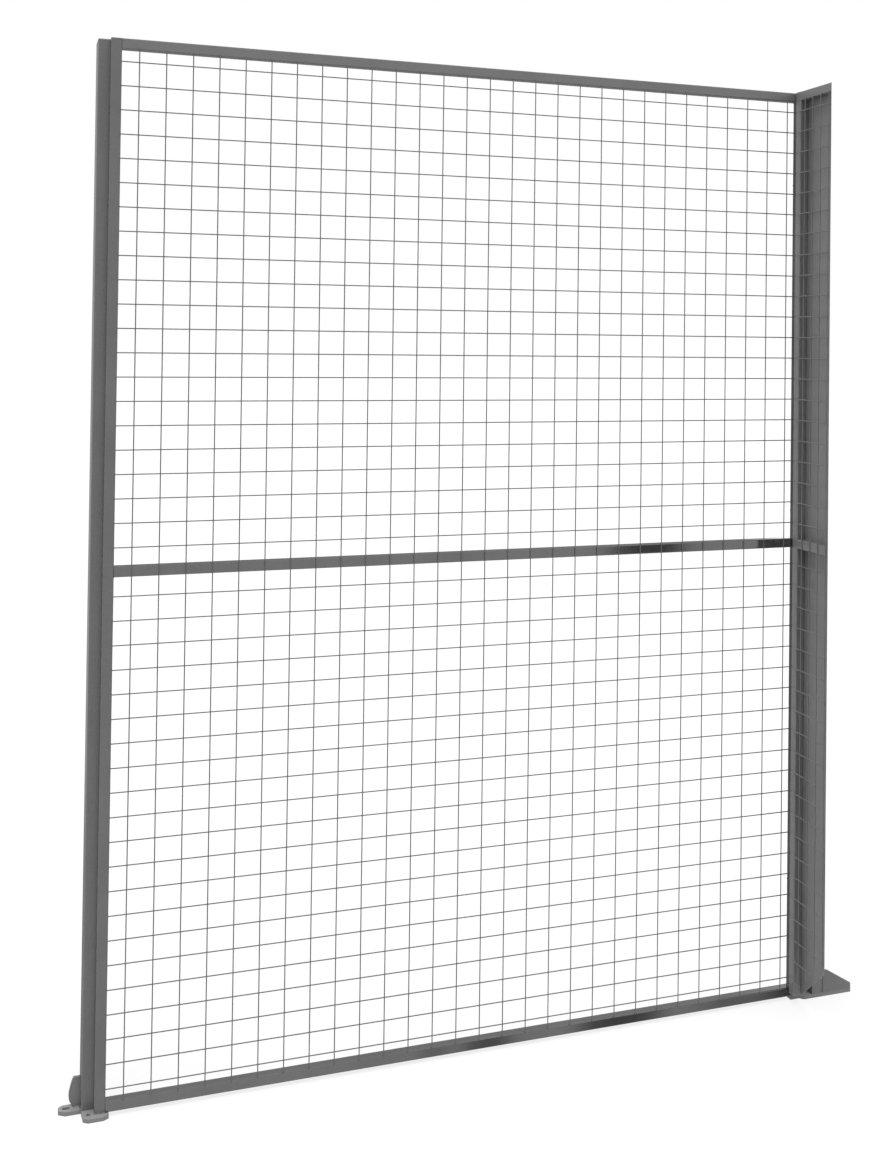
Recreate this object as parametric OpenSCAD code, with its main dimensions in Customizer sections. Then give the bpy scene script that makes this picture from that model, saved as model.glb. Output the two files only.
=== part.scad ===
// Machine guard fence panel: a square-tube frame faced with welded wire mesh. Its left
// edge laps over a floor post. Its right edge stands on an outrigger foot and carries a
// narrow backed wing that turns forward.
// The origin is on the floor under the centre of the left post. +X runs along the
// panel, +Y is the machine side (back) and +Z is up. Millimetres.

/* [Panel frame] */
// Overall width of the framed panel
panel_w = 1500; // [700:10:2000]
// Overall height of the framed panel
panel_h = 2000; // [1000:10:2400]
// Side of the square frame tube
tube = 20; // [20:1:40]
// Outer corner radius of the frame tube
tube_r = 2; // [1:0.5:3]
// Wall thickness of the frame tube
tube_wall = 1.5; // [1:0.5:3]
// Thickness of the plates that close the tube ends
end_t = 2; // [1:0.5:4]

/* [Mesh] */
// Wire diameter
wire_d = 2.2; // [2:0.2:5]
// Spacing of the upright wires
pitch_x = 50; // [25:1:100]
// Spacing of the level wires
pitch_z = 45.5; // [25:0.5:100]
// How far the wires sink into each other at a weld
weld_sink = 0.7; // [0.3:0.1:1]
// How far the mesh sits to the right of the middle of the frame
mesh_shift = 2; // [0:1:10]
// How far the wire ends stay inside the frame's outer edges
wire_inset = 12; // [2:1:14]

/* [Post] */
// Width of the post along the panel
post_w = 40; // [40:1:80]
// Depth of the post across the panel
post_d = 60; // [50:1:100]
// Outer corner radius of the post
post_r = 3; // [1:0.5:4]
// Wall thickness of the post
post_wall = 2; // [1.5:0.5:4]
// How far the panel laps over the front of the post
post_lap = 18; // [10:1:19]
// Thickness of the post cap
cap_t = 3; // [2:1:6]

/* [Feet] */
// Thickness of the foot plates
plate_t = 8; // [5:1:12]
// Length of the post foot's side ear
ear_l = 40; // [38:1:80]
// Width of the post foot's side ear
ear_w = 26; // [24:1:40]
// How far the post's foot plate reaches behind the post
rear_ledge = 10; // [4:1:30]
// How far the post foot's front ear reaches past the panel's front face
front_ear = 12; // [10:1:20]
// Diameter of the front floor bolt hole and width of the slots
bolt_d = 9; // [6:0.5:10]
// End-to-end length of the slots
slot_l = 14; // [12:0.5:20]
// Thickness of the gussets
gusset_t = 5; // [3:1:8]
// Height of the post gusset's top edge above the floor
gusset_h = 63; // [50:1:90]

/* [Outrigger] */
// Reach of the outrigger foot past the panel's right edge
reach = 129; // [120:1:200]
// Height of the outrigger's upstands above the floor
upstand_h = 57; // [40:1:80]
// Height of the sloping upstand at its tip
tip_h = 20; // [15:1:35]

/* [Wing] */
// Reach of the wing forward of the panel's front face
wing_reach = 145; // [100:1:300]
// How far the wing frame is set in from the outer edge of the panel's right stile
wing_offset = 8; // [0:1:10]
// Height of the wing's lower edge above the floor beside the panel
wing_z0 = 20; // [12:1:60]
// Height of the wing's lower edge at its front, where the corner is cut on a slant
wing_tip_z = 132; // [80:1:300]
// How far the front edge of the wing slants back across the frame
wing_slant = 31; // [10:1:40]
// Thickness of the wing's backing sheet
sheet_t = 2; // [1:0.5:3]
// Gap between the panel's face and the wing, where the mesh lies
wing_gap = 4; // [4:0.5:8]
// Spacing of the wing's upright wires
wing_pitch = 31; // [25:1:50]

/* [Hidden] */
// Panel position
panel_x0 = post_w / 2 - post_lap;
panel_x1 = panel_x0 + panel_w;
face_y = -post_d / 2 - tube;
frame_z0 = plate_t;
frame_z1 = frame_z0 + panel_h;
mid_z = frame_z0 + panel_h / 2;
// Mesh grid, with as many wires each way as the frame takes
mesh_nx = floor((panel_w - 2 * tube - 40) / pitch_x) + 1;
mesh_nz = 2 * floor((panel_h / 2 - tube - 8) / pitch_z) + 1;
mesh_x0 = (panel_x0 + panel_x1) / 2 + mesh_shift - (mesh_nx - 1) * pitch_x / 2;
mesh_z0 = mid_z - (mesh_nz - 1) * pitch_z / 2;
mesh_xl = panel_x0 + wire_inset;
mesh_xr = panel_x1 - wire_inset;
mesh_zb = frame_z0 + wire_inset;
mesh_zt = frame_z1 - wire_inset;
split_i = ceil(mesh_nx / 2);
split_x = mesh_x0 + (split_i - 0.5) * pitch_x;
split_k = (mesh_nz - 1) / 2;
split_z = mid_z + pitch_z / 2;
// Wing frame
wing_x = panel_x1 - tube - wing_offset;
wing_back_y = face_y - wing_gap;
wing_stile_y = wing_back_y - tube;
wing_front_y = face_y - wing_reach;
wing_h = frame_z1 - wing_z0;
// Thickness of the slanting front flange measured along Y
flange_y = sheet_t * sqrt(tube * tube + wing_slant * wing_slant) / tube;
wing_rail_y0 = wing_front_y + flange_y;
wing_wires = floor((wing_reach - wing_gap - 15) / wing_pitch);
wing_rise = (wing_tip_z - wing_z0) / (wing_stile_y - wing_front_y);
// Clearance of the wing's wires from its slanting lower edge and from its front edge
slant_gap = 6;
front_gap = 5;
// Feet
edge_x = post_w / 2;
pad_y = post_d / 2 + rear_ledge;
ear_y = -post_d / 2 + 19;
hole_x = -8;
hole_y = face_y + 4;
foot_y = face_y - 8;

module steel() {
  color([0.43, 0.43, 0.43]) children();
}

module wire_steel() {
  color([0.40, 0.40, 0.40]) children();
}

// Rectangle with round corners, from the origin
module rounded(w, d, r) {
  translate([r, 0]) square([w - 2 * r, d]);
  translate([0, r]) square([w, d - 2 * r]);
  for (x = [r, w - r])
    for (y = [r, d - r])
      translate([x, y]) circle(r = r, $fn = 32);
}

// Tube standing on z = 0
module tube_up(w, d, l, wall, r) {
  linear_extrude(height = l)
    difference() {
      rounded(w, d, r);
      translate([wall, wall]) rounded(w - 2 * wall, d - 2 * wall, max(r - wall, 0.5));
    }
}

// Plate that closes a tube
module end_plate(w, d, h, r) {
  linear_extrude(height = h) rounded(w, d, r);
}

// Frame tube lying along +X
module tube_x(l) {
  translate([0, 0, tube]) rotate([0, 90, 0]) tube_up(tube, tube, l, tube_wall, tube_r);
}

// Frame tube lying along +Y
module tube_y(l) {
  translate([0, l, 0]) rotate([90, 0, 0]) tube_up(tube, tube, l, tube_wall, tube_r);
}

// Upright of the frame tube between two end plates that make up the height h
module frame_upright(h) {
  tube_up(tube, tube, h - 2 * end_t, tube_wall, tube_r);
}

// Full-height stile of the panel
module panel_stile(x) {
  translate([x, face_y, frame_z0 + end_t]) frame_upright(panel_h);
}

// Rail butted between the stiles
module panel_rail(z) {
  translate([panel_x0 + tube, face_y, z]) tube_x(panel_w - 2 * tube);
}

module panel_end_plates() {
  for (x = [panel_x0, panel_x1 - tube])
    for (z = [frame_z0, frame_z1 - end_t])
      translate([x, face_y, z]) end_plate(tube, tube, end_t, tube_r);
}

// Welded mesh seated on the frame's front face: the uprights lie on the frame and the
// level wires lie on the uprights, each sunk a little into the other at the weld.
module mesh_field(i0, i1, k0, k1, xa, xb, za, zb) {
  back_y = face_y - wire_d;
  front_y = back_y - wire_d + weld_sink;
  for (i = [i0 : i1])
    translate([mesh_x0 + i * pitch_x - wire_d / 2, back_y, za])
      cube([wire_d, wire_d, zb - za]);
  for (k = [k0 : k1])
    translate([xa, front_y, mesh_z0 + k * pitch_z - wire_d / 2])
      cube([xb - xa, wire_d, wire_d]);
}

module post_tube() {
  translate([-post_w / 2, -post_d / 2, plate_t])
    tube_up(post_w, post_d, panel_h - cap_t, post_wall, post_r);
}

module post_cap() {
  translate([-post_w / 2, -post_d / 2, frame_z1 - cap_t])
    end_plate(post_w, post_d, cap_t, post_r);
}

// Slot along X, centred on the origin
module slot_outline() {
  square([slot_l - bolt_d, bolt_d], center = true);
  for (s = [-1, 1])
    translate([s * (slot_l - bolt_d) / 2, 0]) circle(d = bolt_d, $fn = 48);
}

// Pad under the post, with a front ear that also carries the panel and a slotted side ear
module post_foot_plate() {
  linear_extrude(height = plate_t) {
    difference() {
      polygon([
        [-edge_x, pad_y], [-edge_x, -post_d / 2], [-edge_x + 2, face_y - front_ear + 6],
        [-edge_x + 11, face_y - front_ear], [edge_x - 2, face_y - front_ear],
        [edge_x + 8, face_y - front_ear + 6], [edge_x + 8, -post_d / 2],
        [edge_x, -post_d / 2], [edge_x, pad_y]
      ]);
      translate([hole_x, hole_y]) circle(d = bolt_d, $fn = 48);
    }
    difference() {
      polygon([
        [2 - edge_x, ear_y + ear_w / 2], [-edge_x - ear_l + 8, ear_y + ear_w / 2],
        [-edge_x - ear_l, ear_y + ear_w / 2 - 6], [-edge_x - ear_l, ear_y - ear_w / 2 + 8],
        [-edge_x - ear_l + 12, ear_y - ear_w / 2], [2 - edge_x, ear_y - ear_w / 2]
      ]);
      translate([-edge_x - ear_l + 14, ear_y]) slot_outline();
    }
  }
}

// Rounded gusset between the post and its side ear
module post_foot_gusset() {
  top = gusset_h - plate_t;
  translate([-edge_x, ear_y + 7, plate_t])
    rotate([90, 0, 0])
      linear_extrude(height = gusset_t)
        polygon([
          [0, 0], [0, top], [-13, top], [-16, top - 6], [-19.5, 36], [-21.5, 26],
          [-21.5, 19], [-20.5, 12], [-17, 5], [-13, 0]
        ]);
}

// Slotted plate under the panel's right stile, reaching out past the wing
module outrigger_plate() {
  x0 = panel_x1 - tube;
  x1 = panel_x1 + reach;
  linear_extrude(height = plate_t)
    difference() {
      polygon([
        [x0, face_y], [panel_x1 + 2, face_y], [panel_x1 + 10, foot_y], [x1, foot_y],
        [x1, ear_y + ear_w / 2 - 12],
        [x1 - 12, ear_y + ear_w / 2], [x0 + 6, ear_y + ear_w / 2], [x0, ear_y + ear_w / 2 - 6]
      ]);
      for (x = [52, 99])
        translate([panel_x1 + x, ear_y]) slot_outline();
    }
}

// Bracket folded in a Z, from the stile's outer face to the outrigger's front edge
module outrigger_bracket() {
  step = 30;
  depth = 19;
  front_l = 24;
  translate([panel_x1, foot_y, plate_t])
    linear_extrude(height = upstand_h - plate_t) {
      translate([0, depth]) square([step + gusset_t, gusset_t]);
      translate([step, 0]) square([gusset_t, depth + 1]);
      translate([step, 0]) square([front_l, gusset_t]);
    }
}

// Sloping upstand along the front edge of the outrigger
module outrigger_gusset() {
  near = 57;
  slope_x = 68;
  translate([panel_x1, foot_y + gusset_t, plate_t])
    rotate([90, 0, 0])
      linear_extrude(height = gusset_t)
        polygon([
          [near, 0], [reach, 0], [reach, tip_h - plate_t],
          [slope_x, upstand_h - plate_t], [near, upstand_h - plate_t]
        ]);
}

module wing_stile() {
  translate([wing_x, wing_stile_y, wing_z0 + end_t]) frame_upright(wing_h);
}

// Rail from the wing's stile to the slanting front flange
module wing_rail(z) {
  over = 5;
  lean = wing_slant / tube * over;
  intersection() {
    translate([wing_x, wing_rail_y0, z]) tube_y(wing_stile_y - wing_rail_y0);
    translate([0, 0, z - 1])
      linear_extrude(height = tube + 2)
        polygon([
          [wing_x - over, wing_rail_y0 - lean],
          [wing_x + tube + over, wing_rail_y0 + wing_slant + lean],
          [wing_x + tube + over, wing_back_y], [wing_x - over, wing_back_y]
        ]);
  }
}

module wing_end_plates() {
  for (z = [wing_z0, frame_z1 - end_t])
    translate([wing_x, wing_stile_y, z]) end_plate(tube, tube, end_t, tube_r);
}

// Height of the slanting lower edge at depth y
function slant_z(y) = wing_z0 + max(wing_stile_y - y, 0) * wing_rise;

// Wing mesh on the wing's inner face, its level wires in line with those of the panel
module wing_mesh(k0, k1, za, zb) {
  back_x = wing_x - wire_d;
  front_x = back_x - wire_d + weld_sink;
  for (i = [1 : wing_wires]) {
    y = wing_back_y - 9 - i * wing_pitch;
    z0 = max(za, slant_z(y) + slant_gap);
    translate([back_x, y - wire_d / 2, z0]) cube([wire_d, wire_d, zb - z0]);
  }
  for (k = [k0 : k1]) {
    z = mesh_z0 + k * pitch_z;
    y0 = max(wing_front_y + front_gap, wing_stile_y - (z - slant_gap - wing_z0) / wing_rise);
    translate([front_x, y0, z - wire_d / 2])
      cube([wire_d, wing_back_y - wire_inset - y0, wire_d]);
  }
}

// Backing sheet with a slanting front flange over the rail ends and a slanting lower corner
module wing_sheet() {
  x0 = wing_x + tube;
  x1 = x0 + sheet_t;
  difference() {
    translate([0, 0, wing_z0])
      linear_extrude(height = wing_h)
        polygon([
          [wing_x, wing_front_y], [x1, wing_front_y + wing_slant * (1 + sheet_t / tube)],
          [x1, wing_back_y], [x0, wing_back_y], [x0, wing_rail_y0 + wing_slant],
          [wing_x, wing_rail_y0]
        ]);
    translate([wing_x - 1, 0, 0])
      rotate([90, 0, 90])
        linear_extrude(height = tube + sheet_t + 2)
          polygon([
            [wing_stile_y, wing_z0], [wing_front_y - 1, wing_tip_z + wing_rise],
            [wing_front_y - 1, wing_z0 - 1], [wing_stile_y, wing_z0 - 1]
          ]);
  }
}

// Spacers that hold the wing clear of the mesh
module wing_spacers() {
  for (k = [4, split_k + 1, mesh_nz - 5])
    translate([panel_x1 - tube + 1, wing_back_y, mesh_z0 + (k + 0.5) * pitch_z - 12])
      cube([tube - wing_offset - 2, wing_gap, 24]);
}

steel() panel_stile(panel_x0);  // panel_stile_left
steel() panel_stile(panel_x1 - tube);  // panel_stile_right
steel() panel_rail(frame_z1 - tube);  // panel_rail_top
steel() panel_rail(mid_z - tube / 2);  // panel_rail_mid
steel() panel_rail(frame_z0);  // panel_rail_bottom
steel() panel_end_plates();
wire_steel()  // mesh_upper_left
  mesh_field(0, split_i - 1, split_k + 1, mesh_nz - 1, mesh_xl, split_x, split_z, mesh_zt);
wire_steel()  // mesh_upper_right
  mesh_field(split_i, mesh_nx - 1, split_k + 1, mesh_nz - 1, split_x, mesh_xr, split_z, mesh_zt);
wire_steel()  // mesh_lower_left
  mesh_field(0, split_i - 1, 0, split_k, mesh_xl, split_x, mesh_zb, split_z);
wire_steel()  // mesh_lower_right
  mesh_field(split_i, mesh_nx - 1, 0, split_k, split_x, mesh_xr, mesh_zb, split_z);
steel() post_tube();
steel() post_cap();
steel() post_foot_plate();
steel() post_foot_gusset();
steel() outrigger_plate();
steel() outrigger_bracket();
steel() outrigger_gusset();
steel() wing_stile();
steel() wing_rail(frame_z1 - tube);  // wing_rail_top
steel() wing_rail(mid_z - tube / 2);  // wing_rail_mid
steel() wing_end_plates();
wire_steel()  // wing_mesh_upper
  wing_mesh(split_k + 1, mesh_nz - 1, split_z, mesh_zt);
wire_steel()  // wing_mesh_lower
  wing_mesh(0, split_k, wing_z0, split_z);
steel() wing_sheet();
steel() wing_spacers();
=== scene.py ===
"""Looks of the machine guard fence panel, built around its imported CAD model.

Metres, in the part's own frame: +X along the panel, +Y towards the machine, +Z up.
"""
import math
import random

import bmesh
import bpy
from mathutils import Matrix, Vector


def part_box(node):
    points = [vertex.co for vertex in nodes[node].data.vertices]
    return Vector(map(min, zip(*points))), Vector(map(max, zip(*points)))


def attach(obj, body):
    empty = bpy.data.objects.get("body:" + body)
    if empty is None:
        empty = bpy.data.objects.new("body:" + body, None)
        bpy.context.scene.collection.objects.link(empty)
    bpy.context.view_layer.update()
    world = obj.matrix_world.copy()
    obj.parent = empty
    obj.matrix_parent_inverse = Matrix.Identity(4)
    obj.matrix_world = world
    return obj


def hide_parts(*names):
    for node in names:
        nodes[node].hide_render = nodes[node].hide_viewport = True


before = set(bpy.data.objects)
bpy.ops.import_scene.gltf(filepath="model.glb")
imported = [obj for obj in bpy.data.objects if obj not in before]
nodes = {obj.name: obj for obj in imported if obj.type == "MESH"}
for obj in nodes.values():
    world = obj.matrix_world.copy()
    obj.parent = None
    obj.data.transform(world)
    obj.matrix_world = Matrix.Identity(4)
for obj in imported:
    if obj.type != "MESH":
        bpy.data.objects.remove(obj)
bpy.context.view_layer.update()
rng = random.Random(71)
scene = bpy.context.scene

MM = 0.001
# Walls and outer corner radii of the frame tube and of the post
WALL, CORNER_R = 1.5 * MM, 2.0 * MM
POST_WALL, POST_CORNER_R = 2.0 * MM, 3.0 * MM
WIRE_R = 1.1 * MM
WIRE_CHAMFER = 0.25 * MM
# How far two crossing wires sink into each other at their weld, and half sizes of its nugget
WIRE_SINK = 0.7 * MM
NUGGET, NUGGET_FLAT = 1.5 * MM, 0.9 * MM
# Edges of the CAD shapes are broken this much on thin plates and on thick ones
THIN_EDGE, THICK_EDGE = 0.5 * MM, 0.7 * MM


# ---------------------------------------------------------------- materials

class Graph:
    """A small helper that adds shader nodes and links them."""

    def __init__(self, tree):
        self.tree = tree

    def node(self, kind, **settings):
        item = self.tree.nodes.new(kind)
        for key, value in settings.items():
            setattr(item, key, value)
        return item

    def put(self, socket, value):
        if isinstance(value, bpy.types.NodeSocket):
            self.tree.links.new(value, socket)
        else:
            socket.default_value = value

    def math(self, operation, a, b=0.0):
        item = self.node("ShaderNodeMath", operation=operation)
        self.put(item.inputs[0], a)
        self.put(item.inputs[1], b)
        return item.outputs[0]

    def step(self, value, low, high, out_low=0.0, out_high=1.0):
        """Smooth step from out_low at low to out_high at high."""
        item = self.node("ShaderNodeMapRange", interpolation_type="SMOOTHSTEP")
        self.put(item.inputs["Value"], value)
        for name, number in (("From Min", low), ("From Max", high),
                             ("To Min", out_low), ("To Max", out_high)):
            item.inputs[name].default_value = number
        return item.outputs["Result"]

    def window(self, value, centre, half, soft):
        """One within half of the centre, falling smoothly to zero over soft either side."""
        away = self.math("ABSOLUTE", self.math("SUBTRACT", value, centre))
        return self.step(away, half - soft, half + soft, 1.0, 0.0)

    def noise(self, vector, scale, detail, roughness):
        item = self.node("ShaderNodeTexNoise")
        self.put(item.inputs["Vector"], vector)
        item.inputs["Scale"].default_value = scale
        item.inputs["Detail"].default_value = detail
        item.inputs["Roughness"].default_value = roughness
        return item.outputs["Fac"]

    def mix_colour(self, factor, a, b):
        """Colour a at factor 0 and b at 1. Sockets 6 and 7 are the node's two colours."""
        item = self.node("ShaderNodeMix", data_type="RGBA")
        self.put(item.inputs["Factor"], factor)
        self.put(item.inputs[6], a)
        self.put(item.inputs[7], b)
        return item.outputs[2]


# The middle stretch of a noise, which is spread over a material's whole range
NOISE_SPAN = (0.35, 0.65)
RELIEF_DEPTH = 0.4 * MM


def steel(name, tone, grain=(1.0, 1.0, 1.0), metallic=0.1, rough=(0.36, 0.44), bump=0.012):
    """Satin grey steel: soft mottling in tone and gloss, and a fine drawn grain."""
    mat = bpy.data.materials.new(name)
    mat.use_nodes = True
    tree = mat.node_tree
    tree.nodes.clear()
    g = Graph(tree)
    out = g.node("ShaderNodeOutputMaterial")
    bsdf = g.node("ShaderNodeBsdfPrincipled")
    tree.links.new(bsdf.outputs[0], out.inputs[0])
    where = g.node("ShaderNodeTexCoord").outputs["Object"]
    stretch = g.node("ShaderNodeMapping")
    g.put(stretch.inputs["Vector"], where)
    stretch.inputs["Scale"].default_value = grain
    drawn = g.noise(stretch.outputs[0], scale=900.0, detail=2.0, roughness=0.6)
    cloud = g.noise(where, scale=9.0, detail=4.0, roughness=0.55)
    spots = g.noise(where, scale=160.0, detail=3.0, roughness=0.6)
    tint = g.math("ADD", g.math("MULTIPLY", cloud, 0.65), g.math("MULTIPLY", spots, 0.35))
    dark = (tone * 0.94, tone * 0.94, tone * 0.945, 1)
    pale = (tone * 1.06, tone * 1.06, tone * 1.055, 1)
    g.put(bsdf.inputs["Base Color"], g.mix_colour(g.step(tint, *NOISE_SPAN), dark, pale))
    gloss = g.math("ADD", g.math("MULTIPLY", cloud, 0.5), g.math("MULTIPLY", drawn, 0.5))
    g.put(bsdf.inputs["Roughness"], g.step(gloss, *NOISE_SPAN, *rough))
    bsdf.inputs["Metallic"].default_value = metallic
    relief = g.node("ShaderNodeBump")
    relief.inputs["Strength"].default_value = bump
    relief.inputs["Distance"].default_value = RELIEF_DEPTH
    height = g.math("ADD", g.math("MULTIPLY", drawn, 0.6), g.math("MULTIPLY", spots, 0.4))
    g.put(relief.inputs["Height"], height)
    tree.links.new(relief.outputs[0], bsdf.inputs["Normal"])
    return mat


# The grain is stretched along the way a tube was drawn or a plate was rolled
UP_GRAIN, X_GRAIN, Y_GRAIN = (1.0, 1.0, 0.03), (0.03, 1.0, 1.0), (1.0, 0.03, 1.0)
PLATE_GRAIN = (0.2, 0.2, 1.0)
# The post and the panel's left upright share a darker copy of the frame steel, painted shade.
STEEL_POST_SHADED = steel("steel_post_painted_shade", 0.098, UP_GRAIN, metallic=0.25, rough=(0.24, 0.32))
STEEL_UP = steel("steel_upright", 0.143, UP_GRAIN, metallic=0.85, rough=(0.06, 0.1), bump=0.006)
STEEL_X = steel("steel_level", 0.143, X_GRAIN, metallic=0.85, rough=(0.05, 0.08), bump=0.005)
# The wing's stile: a darker copy of the upright steel, painted shade.
STEEL_WING = steel("steel_wing_painted_shade", 0.122, UP_GRAIN, rough=(0.34, 0.42))
# The top rail: a darker copy of the level steel, painted shade.
STEEL_TOP_SHADED = steel("steel_level_top_painted_shade", 0.128, X_GRAIN, metallic=0.45, rough=(0.26, 0.34))
# The wing's rails: a darker copy of the frame steel, painted shade.
STEEL_Y_SHADED = steel("steel_depth_painted_shade", 0.125, Y_GRAIN, rough=(0.3, 0.38))
# The wing's sheet: a lighter copy of the steel, painted light against the shade it sits in.
STEEL_SHEET_LIT = steel("steel_sheet_painted_light", 0.19, UP_GRAIN, metallic=0.4, rough=(0.4, 0.48))
STEEL_PLATE = steel("steel_plate", 0.14, PLATE_GRAIN, bump=0.03)
# The gussets and the bracket: a darker copy of the plate steel, painted shade.
STEEL_GUSSET_SHADED = steel("steel_gusset_painted_shade", 0.112, PLATE_GRAIN, bump=0.03)
# The wing's wires: a lighter copy of the wire steel, painted light.
STEEL_WING_WIRE_LIT = steel("steel_wire_wing_painted_light", 0.14, metallic=0.5)
STEEL_WIRE = steel("steel_wire", 0.125, metallic=0.7, rough=(0.2, 0.28))
WELD = steel("steel_weld", 0.12, metallic=0.5, rough=(0.3, 0.4), bump=0.08)
BOLT = steel("steel_bolt", 0.15, metallic=0.8, rough=(0.18, 0.26))


# ---------------------------------------------------------------- mesh code

def finish_piece(obj, mat, smooth_deg):
    """Gives a new piece its material, shading and body."""
    obj.data.materials.clear()
    obj.data.materials.append(mat)
    obj.data.polygons.foreach_set("use_smooth", [True] * len(obj.data.polygons))
    obj.data.set_sharp_from_angle(angle=math.radians(smooth_deg))
    mod = obj.modifiers.new("weighted", "WEIGHTED_NORMAL")
    mod.keep_sharp = True
    mod.weight = 100
    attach(obj, "root")


def new_object(name, verts, faces):
    mesh = bpy.data.meshes.new(name)
    mesh.from_pydata([tuple(v) for v in verts], [], faces)
    mesh.update()
    obj = bpy.data.objects.new(name, mesh)
    scene.collection.objects.link(obj)
    return obj


def across(way):
    """Two directions square to way and to each other."""
    side = way.orthogonal().normalized()
    return side, way.cross(side)


def ring_faces(rings, sides):
    """Faces of a closed solid whose vertices are that many rings, one after another."""
    faces = []
    for n in range(rings - 1):
        here, following = n * sides, (n + 1) * sides
        for k in range(sides):
            j = (k + 1) % sides
            faces.append((here + k, here + j, following + j, following + k))
    faces.append(tuple(reversed(range(sides))))
    faces.append(tuple(range((rings - 1) * sides, rings * sides)))
    return faces


class Shape:
    """Collects many small solids into one mesh."""

    def __init__(self):
        self.verts = []
        self.faces = []

    def add(self, verts, faces):
        base = len(self.verts)
        self.verts.extend(verts)
        self.faces.extend([tuple(base + i for i in f) for f in faces])

    def wire(self, a, b, sides=10):
        """Round wire from a to b, its ends slightly chamfered."""
        a, b = Vector(a), Vector(b)
        way = (b - a).normalized()
        side, other = across(way)
        in_from_end = way * WIRE_CHAMFER
        rings = ((a, WIRE_R - WIRE_CHAMFER), (a + in_from_end, WIRE_R),
                 (b - in_from_end, WIRE_R), (b, WIRE_R - WIRE_CHAMFER))
        verts = []
        for centre, r in rings:
            for k in range(sides):
                t = 2 * math.pi * (k + 0.5) / sides
                verts.append(centre + (side * math.cos(t) + other * math.sin(t)) * r)
        self.add(verts, ring_faces(len(rings), sides))

    def ball(self, centre, size, sides=6, rows=4):
        """Squashed ball, such as a weld nugget."""
        c = Vector(centre)
        verts = [c + Vector((0, 0, size[2]))]
        for r in range(1, rows):
            p = math.pi * r / rows
            for k in range(sides):
                t = 2 * math.pi * k / sides
                verts.append(c + Vector((size[0] * math.sin(p) * math.cos(t),
                                         size[1] * math.sin(p) * math.sin(t),
                                         size[2] * math.cos(p))))
        verts.append(c - Vector((0, 0, size[2])))
        faces = []
        last = len(verts) - 1
        for k in range(sides):
            j = (k + 1) % sides
            faces.append((0, 1 + k, 1 + j))
            for r in range(rows - 2):
                a = 1 + r * sides
                faces.append((a + k, a + sides + k, a + sides + j, a + j))
            a = 1 + (rows - 2) * sides
            faces.append((a + k, last, a + j))
        self.add(verts, faces)

    def lathe(self, centre, way, profile, sides):
        """Solid of revolution along way: profile lists (distance, radius) from the seat out."""
        way = Vector(way).normalized()
        side, other = across(way)
        verts = []
        for along, r in profile:
            for k in range(sides):
                t = 2 * math.pi * k / sides
                verts.append(Vector(centre) + way * along
                             + (side * math.cos(t) + other * math.sin(t)) * r)
        self.add(verts, ring_faces(len(profile), sides))

    def bead(self, a, b, radius, sides=8):
        """Rippled weld bead laid from a to b, its ends drawn in to a smaller radius."""
        a, b = Vector(a), Vector(b)
        length = (b - a).length
        end_radius = radius * 0.45
        count = max(4, int(length / (0.45 * radius)))
        profile = [(0.0, end_radius)]
        for n in range(1, count):
            ripple = 0.86 + 0.14 * math.cos(n * 2.1) + rng.uniform(-0.03, 0.03)
            profile.append((length * n / count, radius * ripple))
        profile.append((length, end_radius))
        self.lathe(a, b - a, profile, sides)

    def bolt(self, seat, way, flats, head):
        """Hexagon bolt head on a washer, flats across and head high, its top face raised."""
        way = Vector(way).normalized()
        r = flats / 2
        thick = 0.16 * flats
        self.lathe(seat, way, ((0, 1.15 * r), (0.1 * thick, 1.2 * r), (0.85 * thick, 1.2 * r),
                               (thick, 1.15 * r)), 32)
        hexagon = r / math.cos(math.pi / 6)
        top = Vector(seat) + way * thick
        self.lathe(top, way, ((0, hexagon), (0.84 * head, hexagon), (head, 0.88 * hexagon)), 6)
        self.lathe(top + way * head, way, ((-0.1 * head, 0.8 * r), (0.04 * head, 0.72 * r)), 24)

    def rivet(self, seat, way):
        """Low domed rivet head, let into the sheet a little."""
        radius, height, sunk = 3.2 * MM, 1.3 * MM, 0.3 * MM
        dome = [(height * math.sin(t), radius * math.cos(t))
                for t in (0.0, 0.25, 0.55, 0.85, 1.15, 1.4)]
        self.lathe(seat, way, [(-sunk, radius)] + dome, 20)

    def object(self, name):
        return new_object(name, self.verts, self.faces)


def rounded_outline(w, d, r, steps=6):
    """Counter-clockwise outline of a w by d rectangle from the origin, corners rounded."""
    points = []
    for cx, cy, start in ((w - r, r, -90), (w - r, d - r, 0), (r, d - r, 90), (r, r, 180)):
        for k in range(steps + 1):
            t = math.radians(start + 90.0 * k / steps)
            points.append((cx + r * math.cos(t), cy + r * math.sin(t)))
    return points


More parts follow.
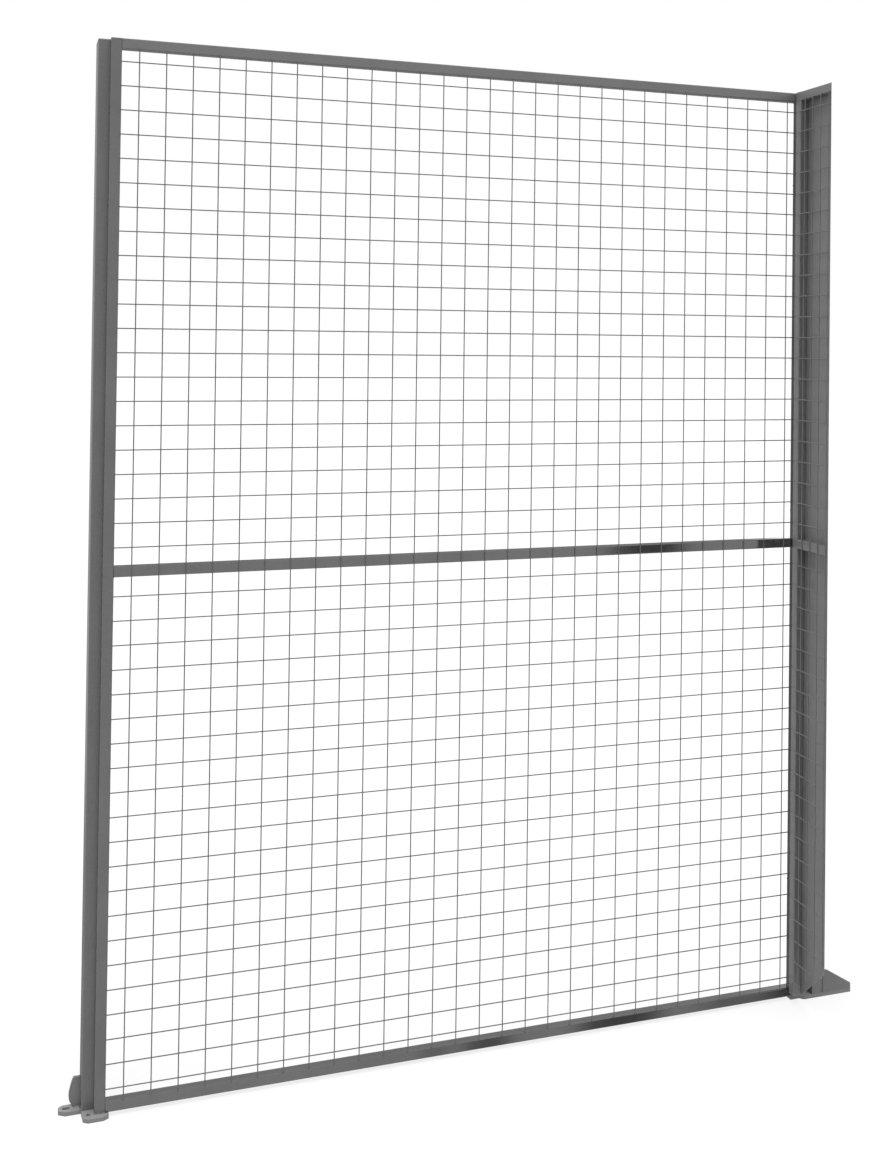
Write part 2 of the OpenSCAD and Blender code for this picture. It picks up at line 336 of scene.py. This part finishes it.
def tube(name, node, axis, mat, wall=WALL, radius=CORNER_R, slant=0.0):
    """Hollow rounded tube along axis (0, 1 or 2) that fills the box of a CAD tube.

    slant is how far its low end is cut back on one side, +X for a tube along Y.
    """
    lo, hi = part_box(node)
    size = hi - lo
    u, v = [i for i in range(3) if i != axis]
    outer = rounded_outline(size[u], size[v], radius)
    inner = rounded_outline(size[u] - 2 * wall, size[v] - 2 * wall, max(radius - wall, 0.4 * MM))
    inner = [(a + wall, b + wall) for a, b in inner]
    n = len(outer)
    verts = []
    for along, cut in ((lo[axis], slant), (hi[axis], 0.0)):
        for loop in (outer, inner):
            for a, b in loop:
                p = [0.0, 0.0, 0.0]
                p[axis], p[u], p[v] = along + cut * a / size[u], lo[u] + a, lo[v] + b
                verts.append(p)
    # Four loops of n vertices: outer and inner at the low end, then outer and inner at the high
    faces = []
    for k in range(n):
        j = (k + 1) % n
        faces.append((k, j, 2 * n + j, 2 * n + k))
        faces.append((n + j, n + k, 3 * n + k, 3 * n + j))
        faces.append((k, n + k, n + j, j))
        faces.append((2 * n + k, 2 * n + j, 3 * n + j, 3 * n + k))
    if axis == 1:
        faces = [tuple(reversed(f)) for f in faces]
    obj = new_object(name, verts, faces)
    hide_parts(node)
    finish_piece(obj, mat, smooth_deg=35)


def bevelled(name, node, mat, width):
    """The CAD node's own shape with its sharp edges broken."""
    obj = bpy.data.objects.new(name, nodes[node].data.copy())
    scene.collection.objects.link(obj)
    bm = bmesh.new()
    bm.from_mesh(obj.data)
    bmesh.ops.remove_doubles(bm, verts=bm.verts, dist=1e-6)
    bmesh.ops.dissolve_limit(bm, angle_limit=math.radians(0.5), verts=bm.verts, edges=bm.edges)
    bm.to_mesh(obj.data)
    bm.free()
    mod = obj.modifiers.new("edges", "BEVEL")
    mod.width = width
    mod.segments = 2
    mod.limit_method = "ANGLE"
    mod.angle_limit = math.radians(40)
    mod.use_clamp_overlap = True
    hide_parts(node)
    finish_piece(obj, mat, smooth_deg=60)


# ---------------------------------------------------------------- frame, post, wing

PANEL_RAILS = ("panel_rail_top", "panel_rail_mid", "panel_rail_bottom")
WING_RAILS = ("wing_rail_top", "wing_rail_mid")
WING_SLANT = 31 * MM
# The panel's left upright takes the post's darker steel and the wing's stile a darker copy, both
# painted shade.
for name, mat in (("panel_stile_left", STEEL_POST_SHADED), ("panel_stile_right", STEEL_UP),
                  ("wing_stile", STEEL_WING)):
    tube(name.replace("stile", "upright"), name, 2, mat)
# The top rail takes a darker copy of the rails' steel, painted shade.
for name, mat in zip(PANEL_RAILS, (STEEL_TOP_SHADED, STEEL_X, STEEL_X)):
    tube(name.replace("rail", "crossbar"), name, 0, mat)
# The wing's rails take a darker copy of the steel, painted shade.
for name in WING_RAILS:
    tube(name.replace("rail", "crossbar"), name, 1, STEEL_Y_SHADED, slant=WING_SLANT)
tube("post_body", "post_tube", 2, STEEL_POST_SHADED, POST_WALL, POST_CORNER_R)
for name in ("panel_end_plates", "wing_end_plates", "post_cap", "wing_spacers"):
    bevelled(name + "_edged", name, STEEL_PLATE, THIN_EDGE)
for name in ("post_foot_plate", "outrigger_plate"):
    bevelled(name + "_edged", name, STEEL_PLATE, THICK_EDGE)
# The gussets and the bracket take a darker copy of the plate steel, painted shade.
for name in ("post_foot_gusset", "outrigger_bracket", "outrigger_gusset"):
    bevelled(name + "_edged", name, STEEL_GUSSET_SHADED, THICK_EDGE)
# The wing's sheet takes a lighter copy of the steel, painted light.
bevelled("wing_backing", "wing_sheet", STEEL_SHEET_LIT, THIN_EDGE)


# ---------------------------------------------------------------- welded mesh

PITCH_X, PITCH_Z = 50 * MM, 45.5 * MM
UPRIGHTS, LEVELS = 29, 43
# Wires left of the split between the fields, and from the lowest up to the one on the mid rail
LEFT_UPRIGHTS, LOWER_LEVELS = 15, 22
# How far the wires reach over the frame
SEAT = 2 * MM
field_lo, field_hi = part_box("mesh_upper_left")
FACE_Y, SPLIT_X, SPLIT_Z = field_hi.y, field_hi.x, field_lo.z
MESH_X0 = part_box("panel_stile_left")[1].x - SEAT
MESH_X1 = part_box("panel_stile_right")[0].x + SEAT
MESH_Z0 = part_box("panel_rail_bottom")[1].z - SEAT
MESH_Z1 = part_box("panel_rail_top")[0].z + SEAT
MID_Z = SPLIT_Z - PITCH_Z / 2
GRID_X = [SPLIT_X + PITCH_X * (i - LEFT_UPRIGHTS + 0.5) for i in range(UPRIGHTS)]
GRID_Z = [MID_Z + PITCH_Z * (k - LOWER_LEVELS + 1) for k in range(LEVELS)]
UP_Y = FACE_Y - WIRE_R
LEVEL_Y = UP_Y - 2 * WIRE_R + WIRE_SINK


def without_mid(rows):
    """The rows but for the one on the mid rails, where the photo shows no level wire."""
    return [z for z in rows if abs(z - MID_Z) > MM]


UPPER_Z = without_mid(GRID_Z[LOWER_LEVELS:])
LOWER_Z = without_mid(GRID_Z[:LOWER_LEVELS])
LEFT_X, RIGHT_X = GRID_X[:LEFT_UPRIGHTS], GRID_X[LEFT_UPRIGHTS:]

for name, xs, zs, x_span, z_span in (
        ("upper_left", LEFT_X, UPPER_Z, (MESH_X0, SPLIT_X), (SPLIT_Z, MESH_Z1)),
        ("upper_right", RIGHT_X, UPPER_Z, (SPLIT_X, MESH_X1), (SPLIT_Z, MESH_Z1)),
        ("lower_left", LEFT_X, LOWER_Z, (MESH_X0, SPLIT_X), (MESH_Z0, SPLIT_Z)),
        ("lower_right", RIGHT_X, LOWER_Z, (SPLIT_X, MESH_X1), (MESH_Z0, SPLIT_Z))):
    wires = Shape()
    for x in xs:
        wires.wire((x, UP_Y, z_span[0]), (x, UP_Y, z_span[1]))
    for z in zs:
        wires.wire((x_span[0], LEVEL_Y, z), (x_span[1], LEVEL_Y, z))
        for x in xs:
            wires.ball((x, (UP_Y + LEVEL_Y) / 2, z), (NUGGET, NUGGET_FLAT, NUGGET))
    field = wires.object("wires_" + name)
    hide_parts("mesh_" + name)
    finish_piece(field, STEEL_WIRE, smooth_deg=50)

(stile_lo, stile_hi), (sheet_lo, sheet_hi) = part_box("wing_stile"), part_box("wing_sheet")
WING_WIRES, WING_PITCH = 4, 31 * MM
FIRST_GAP = 9 * MM
WING_WIRES_Y = [stile_hi.y - FIRST_GAP - WING_PITCH * (i + 1) for i in range(WING_WIRES)]
WING_UP_X = stile_lo.x - WIRE_R
WING_LEVEL_X = WING_UP_X - 2 * WIRE_R + WIRE_SINK
# The wing's lower edge rises from its stile to this height at its near end
WING_TIP_Z = 132 * MM
EDGE_RISE = (WING_TIP_Z - sheet_lo.z) / (stile_lo.y - sheet_lo.y)
# Clearance of the wing's wires from that edge and from its near end
SLANT_GAP, NEAR_GAP = 6 * MM, 5 * MM

for name, rows, z0, z1 in (("upper", UPPER_Z, SPLIT_Z, MESH_Z1),
                           ("lower", LOWER_Z, 0.0, SPLIT_Z)):
    wires = Shape()
    for y in WING_WIRES_Y:
        edge_z = sheet_lo.z + (stile_lo.y - y) * EDGE_RISE
        low = max(z0, edge_z + SLANT_GAP)
        wires.wire((WING_UP_X, y, low), (WING_UP_X, y, z1))
    for z in rows:
        edge_y = stile_lo.y - (z - SLANT_GAP - sheet_lo.z) / EDGE_RISE
        near = max(sheet_lo.y + NEAR_GAP, edge_y)
        wires.wire((WING_LEVEL_X, near, z), (WING_LEVEL_X, stile_lo.y + SEAT, z))
        for y in WING_WIRES_Y:
            if y > near:
                wires.ball(((WING_UP_X + WING_LEVEL_X) / 2, y, z), (NUGGET_FLAT, NUGGET, NUGGET))
    field = wires.object("wires_wing_" + name)
    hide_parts("wing_mesh_" + name)
    # The wing's wires take a lighter copy of the wire steel, painted light.
    finish_piece(field, STEEL_WING_WIRE_LIT, smooth_deg=50)


# ---------------------------------------------------------------- welds and fixings

def extra(shape, name, mat, smooth_deg=50):
    """A small piece with no CAD part of its own."""
    finish_piece(shape.object(name), mat, smooth_deg)


left_hi, right_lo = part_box("panel_stile_left")[1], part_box("panel_stile_right")[0]
BACK_Y = left_hi.y
rail_boxes = [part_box(name) for name in PANEL_RAILS]
(_, top_hi), (mid_lo, mid_hi), (bottom_lo, _) = rail_boxes


def inside_frame(z):
    """True for a rail's edge that faces into the frame, where a weld shows."""
    return bottom_lo.z + MM < z < top_hi.z - MM


FILLET = 1.4 * MM
corner_welds = Shape()
for lo, hi in rail_boxes:
    for x in (left_hi.x, right_lo.x):
        back = BACK_Y - 0.4 * MM
        corner_welds.bead((x, back, lo.z + MM), (x, back, hi.z - MM), 1.6 * MM)
        for z in filter(inside_frame, (lo.z, hi.z)):
            corner_welds.bead((x, lo.y + 2 * MM, z), (x, hi.y - MM, z), FILLET)
for lo, hi in [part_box(name) for name in WING_RAILS]:
    for z in filter(inside_frame, (lo.z, hi.z)):
        corner_welds.bead((lo.x + MM, hi.y, z), (hi.x - MM, hi.y, z), FILLET)
extra(corner_welds, "corner_welds", WELD)

TACK = (1.5 * MM, 0.7 * MM, 1.0 * MM)
tacks = Shape()
for x in GRID_X:
    for z in (MESH_Z0 + MM, mid_lo.z + MM, mid_hi.z - MM, MESH_Z1 - MM):
        tacks.ball((x, UP_Y + 0.6 * MM, z), TACK, sides=8, rows=5)
extra(tacks, "mesh_tacks", STEEL_WIRE)

# Each bead stops a little short of the corners and edges of what it welds
POST_BEAD, LAP_SIDE_BEAD = 2.4 * MM, 2.0 * MM
BRACKET_BEAD, GUSSET_BEAD = 1.8 * MM, 1.5 * MM
foot_welds = Shape()
lo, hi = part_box("post_tube")
for x, radius in ((lo.x, POST_BEAD), (hi.x, LAP_SIDE_BEAD)):
    foot_welds.bead((x, lo.y + 3 * MM, lo.z), (x, hi.y - 3 * MM, lo.z), radius)
foot_welds.bead((lo.x + 3 * MM, hi.y, lo.z), (hi.x - 3 * MM, hi.y, lo.z), POST_BEAD)
POST_BACK = hi.y
lo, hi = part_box("post_foot_gusset")
for y in (lo.y, hi.y):
    foot_welds.bead((hi.x, y, lo.z + 3 * MM), (hi.x, y, hi.z - 2 * MM), GUSSET_BEAD)
    foot_welds.bead((lo.x + 9 * MM, y, lo.z), (hi.x - 2 * MM, y, lo.z), GUSSET_BEAD)
lo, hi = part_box("outrigger_gusset")
foot_welds.bead((lo.x + 2 * MM, hi.y, lo.z), (hi.x - 3 * MM, hi.y, lo.z), BRACKET_BEAD)
lo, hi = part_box("outrigger_bracket")
foot_welds.bead((lo.x + 2 * MM, hi.y, lo.z), (lo.x + 32 * MM, hi.y, lo.z), BRACKET_BEAD)
foot_welds.bead((lo.x, hi.y, lo.z + 2 * MM), (lo.x, hi.y, hi.z - 2 * MM), GUSSET_BEAD)
extra(foot_welds, "foot_welds", WELD)

# Bolts through the post into the panel and through the right stile into the wing's spacers,
# then the rivets that hold the sheet on the wing's stile and rails
LAP_X = 11 * MM
POST_BOLTS, POST_BOLT_Z, POST_BOLT_PITCH = 4, 150 * MM, 570 * MM
SPACER_INSET_X, SPACER_INSET_Z = 6 * MM, 12 * MM
RIVETS, RIVET_Z, RIVET_PITCH = 11, 60 * MM, 188 * MM
RAIL_RIVETS_Y = (-98 * MM, -140 * MM)
fixings = Shape()
for n in range(POST_BOLTS):
    z = POST_BOLT_Z + POST_BOLT_PITCH * n
    fixings.bolt((LAP_X, POST_BACK, z), (0, 1, 0), 13 * MM, 5.5 * MM)
lo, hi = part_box("wing_spacers")
for z in (lo.z + SPACER_INSET_Z, MID_Z + 1.5 * PITCH_Z, hi.z - SPACER_INSET_Z):
    fixings.bolt((lo.x + SPACER_INSET_X, BACK_Y, z), (0, 1, 0), 8 * MM, 3.5 * MM)
for n in range(RIVETS):
    z = sheet_lo.z + RIVET_Z + RIVET_PITCH * n
    fixings.rivet((sheet_hi.x, (stile_lo.y + stile_hi.y) / 2, z), (1, 0, 0))
for z in (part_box("wing_rail_top")[0].z + 10 * MM, MID_Z):
    for y in RAIL_RIVETS_Y:
        fixings.rivet((sheet_hi.x, y, z), (1, 0, 0))
extra(fixings, "fixings", BOLT, smooth_deg=30)


# ---------------------------------------------------------------- stage, camera, light

FLOOR_HALF = 60.0
FLOOR_GREY = (0.3, 0.3, 0.3, 1)
FLOOR_SEEN_GREY, FLOOR_GLOW = (0.08, 0.08, 0.08, 1), 0.82


def floor():
    """Grey floor that lights the steel, and that the camera sees glow almost white."""
    half = FLOOR_HALF
    verts = [(-half, -half, 0), (half, -half, 0), (half, half, 0), (-half, half, 0)]
    obj = new_object("floor", verts, [(0, 1, 2, 3)])
    mat = bpy.data.materials.new("floor_pale")
    mat.use_nodes = True
    tree = mat.node_tree
    tree.nodes.clear()
    g = Graph(tree)
    out = g.node("ShaderNodeOutputMaterial")
    diffuse = g.node("ShaderNodeBsdfDiffuse")
    glow = g.node("ShaderNodeEmission")
    camera_ray = g.node("ShaderNodeLightPath").outputs["Is Camera Ray"]
    g.put(diffuse.inputs["Color"], g.mix_colour(camera_ray, FLOOR_GREY, FLOOR_SEEN_GREY))
    g.put(glow.inputs["Strength"], g.math("MULTIPLY", camera_ray, FLOOR_GLOW))
    both = g.node("ShaderNodeAddShader")
    tree.links.new(diffuse.outputs[0], both.inputs[0])
    tree.links.new(glow.outputs[0], both.inputs[1])
    tree.links.new(both.outputs[0], out.inputs[0])
    obj.data.materials.append(mat)
    obj.visible_glossy = False


# What the steel mirrors: (bearing, half width, elevation, half height, softness, gain), all
# but the gain in degrees. Bearings in FRONT turn from straight in front of the panel towards
# the wing, those in BEHIND from straight behind it towards the wing. A gain under 1 is a dark
# panel and one over 1 a bright one, and where panels overlap their gains multiply. All of
# them were aimed from the photo's viewpoint.
FRONT = (
    # In the front of the mid rail
    (25.9, 1.4, -8.4, 3.0, 0.5, 0.03),
    (32.4, 1.4, -8.0, 3.0, 0.8, 0.80),
    # In the front of the bottom rail
    (17.4, 0.4, -25.8, 3.0, 0.5, 0.40),
    (19.6, 0.8, -25.6, 3.0, 0.5, 0.12),
    (25.0, 1.6, -24.7, 3.0, 0.6, 0.12),
    (29.4, 1.3, -24.0, 3.0, 0.8, 0.55),
    (33.2, 2.4, -23.7, 3.0, 0.8, 0.05),
    # In the left sides of the right stile and of the wing's stile
    (-149.4, 1.5, -5.0, 30.0, 0.4, 0.10),
)
BEHIND = (
    # In the left side of the post
    (-6.0, 8.0, -9.0, 26.0, 2.0, 0.45),
    # In the tops of the mid rails, a dark one and a bright one
    (16.0, 14.4, 8.5, 6.0, 1.0, 0.25),
    (34.0, 2.5, 8.0, 3.0, 0.8, 2.50),
    # In the underside of the top rail
    (20.0, 16.0, -9.5, 4.0, 1.5, 0.10),
    # Low down behind the panel
    (25.0, 42.0, -40.0, 22.0, 3.0, 0.30),
    # In the top of the bottom rail
    (17.0, 13.5, 25.5, 5.0, 1.5, 0.65),
)


def studio():
    """White room for the camera, and a room with dark and bright panels for reflections."""
    world = bpy.data.worlds.new("studio")
    scene.world = world
    world.use_nodes = True
    tree = world.node_tree
    tree.nodes.clear()
    g = Graph(tree)
    out = g.node("ShaderNodeOutputWorld")
    path = g.node("ShaderNodeLightPath")
    xyz = g.node("ShaderNodeSeparateXYZ")
    tree.links.new(g.node("ShaderNodeTexCoord").outputs["Generated"], xyz.inputs[0])
    x, y, z = xyz.outputs
    to_degrees = math.degrees(1.0)
    in_front = g.math("MULTIPLY", g.math("ARCTAN2", x, g.math("MULTIPLY", y, -1.0)), to_degrees)
    behind = g.math("MULTIPLY", g.math("ARCTAN2", x, y), to_degrees)
    elevation = g.math("MULTIPLY", g.math("ARCSINE", z), to_degrees)
    gain = 1.0
    for bearing, panels in ((in_front, FRONT), (behind, BEHIND)):
        for at, half, height, half_height, soft, level in panels:
            inside = g.math("MULTIPLY", g.window(bearing, at, half, soft),
                            g.window(elevation, height, half_height, soft))
            change = g.math("ADD", g.math("MULTIPLY", inside, level - 1.0), 1.0)
            gain = g.math("MULTIPLY", change, gain)
    # Only glossy rays see the panels. All other rays see plain white.
    seen = g.node("ShaderNodeMix", data_type="FLOAT")
    g.put(seen.inputs["Factor"], path.outputs["Is Glossy Ray"])
    g.put(seen.inputs[2], 1.0)
    g.put(seen.inputs[3], gain)
    back = g.node("ShaderNodeBackground")
    back.inputs["Color"].default_value = (1, 1, 1, 1)
    g.put(back.inputs["Strength"], seen.outputs[0])
    tree.links.new(back.outputs[0], out.inputs[0])


SUN_ENERGY, SUN_SPREAD = 6.0, 50.0
SUN_WAY = (0.1, 0.25, -1.0)


def overhead():
    """Broad soft light from above, a little in front of the panel."""
    data = bpy.data.lights.new("overhead", "SUN")
    data.energy = SUN_ENERGY
    data.angle = math.radians(SUN_SPREAD)
    obj = bpy.data.objects.new("overhead", data)
    scene.collection.objects.link(obj)
    obj.rotation_euler = Vector(SUN_WAY).to_track_quat("-Z", "Y").to_euler()
    obj.visible_glossy = False
    obj.visible_camera = False


# Where the photo was taken from. In degrees, the yaw turns from +Y towards +X, the pitch
# looks up and the roll lifts the camera's right side.
CAMERA_AT = (-0.18361, -2.73596, 1.44712)
YAW, PITCH, ROLL = 19.76, 0.88, 0.674
LENS, SENSOR = 43.25, 36.0
SHIFT_X, SHIFT_Y = -0.0454, -0.2232


def camera():
    yaw, pitch, roll = (math.radians(a) for a in (YAW, PITCH, ROLL))
    data = bpy.data.cameras.new("camera")
    data.lens = LENS
    data.sensor_width = SENSOR
    data.shift_x = SHIFT_X
    data.shift_y = SHIFT_Y
    data.clip_end = 200.0
    obj = bpy.data.objects.new("camera", data)
    scene.collection.objects.link(obj)
    ahead = Vector((math.sin(yaw) * math.cos(pitch), math.cos(yaw) * math.cos(pitch),
                    math.sin(pitch)))
    level = Vector((math.cos(yaw), -math.sin(yaw), 0))
    above = level.cross(ahead)
    right = level * math.cos(roll) + above * math.sin(roll)
    up = above * math.cos(roll) - level * math.sin(roll)
    turn = Matrix((right, up, -ahead)).transposed().to_4x4()
    obj.matrix_world = Matrix.Translation(CAMERA_AT) @ turn
    scene.camera = obj


floor()
studio()
overhead()
camera()
scene.view_settings.view_transform = "Standard"
